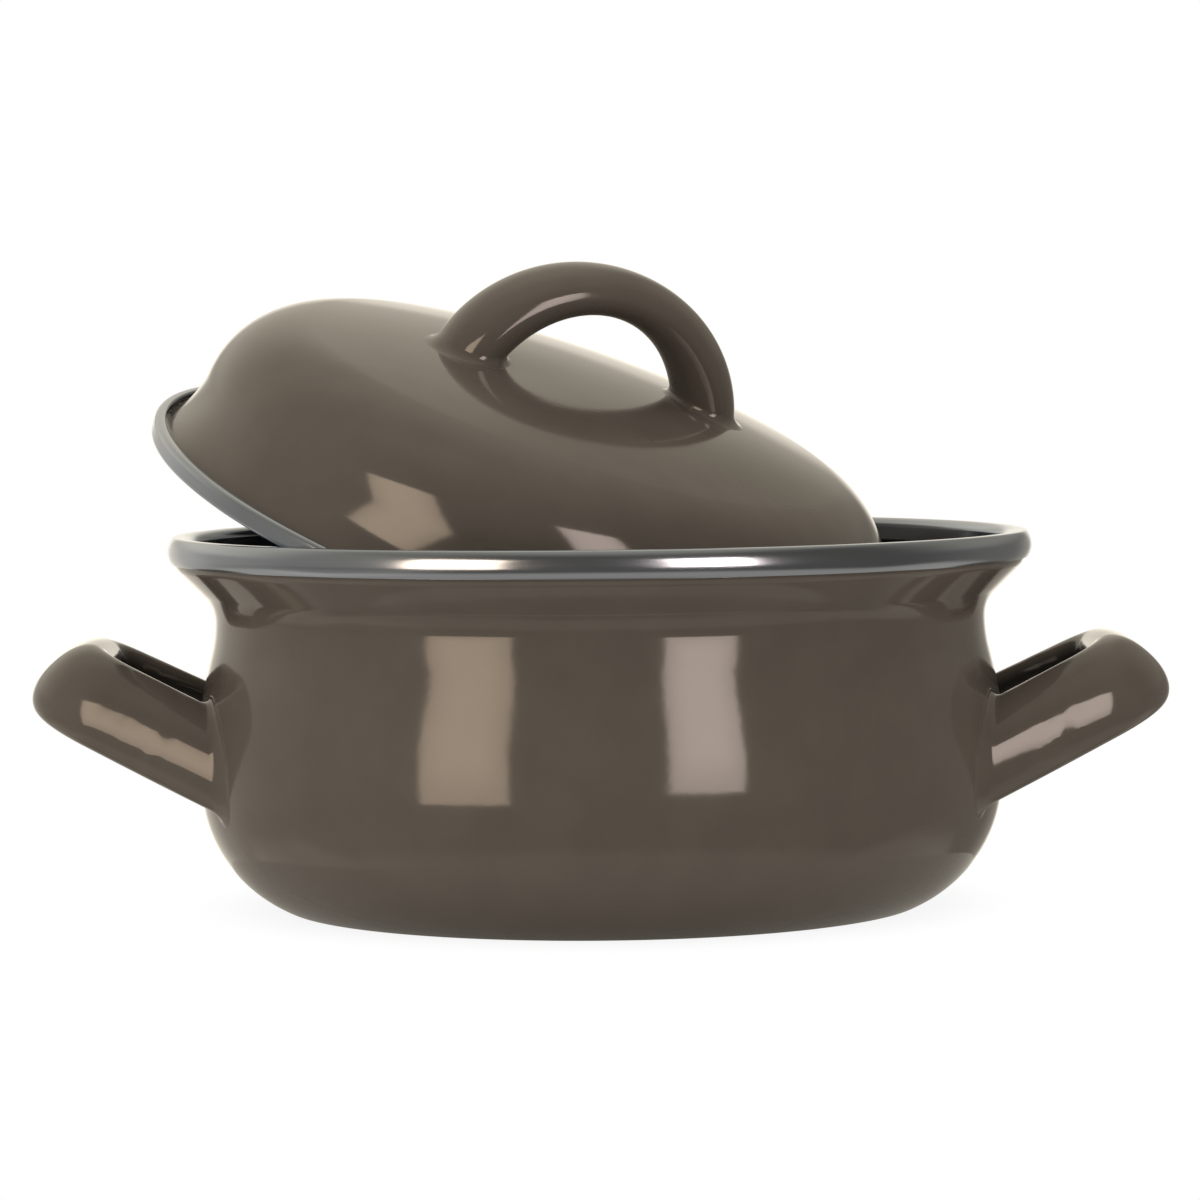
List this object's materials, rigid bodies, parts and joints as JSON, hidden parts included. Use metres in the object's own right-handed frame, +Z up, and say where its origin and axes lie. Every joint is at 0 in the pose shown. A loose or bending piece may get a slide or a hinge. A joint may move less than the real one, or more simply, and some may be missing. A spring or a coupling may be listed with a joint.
{
  "type": "mini casserole dish with lid",
  "caption": "Small round enamelled steel casserole with slanting loop handles, folded steel rims and a domed lid with an arched handle, lying askew in the mouth and lifting off.",
  "frame": {"origin": "middle of the ring that the pot stands on", "axes": "+X along the line through both side handles, towards the right handle; +Z up the pot's axis"},
  "size_m": [0.1696, 0.1292, 0.0963],
  "materials": {
    "enamel": "gloss",
    "steel": "polished"
  },
  "bodies": {
    "pot": {"pot_body": "enamel", "pot_rim_band": "steel", "left_handle": "enamel", "right_handle": "enamel"},
    "lid": {"lid_shell": "enamel", "lid_rim_band": "steel", "lid_handle": "enamel"}
  },
  "joints": [
    {"name": "lid_lift", "type": "slide", "parent": "pot", "child": "lid", "axis": [0, 0, 1], "range_m": [0, 0.11]}
  ]
}
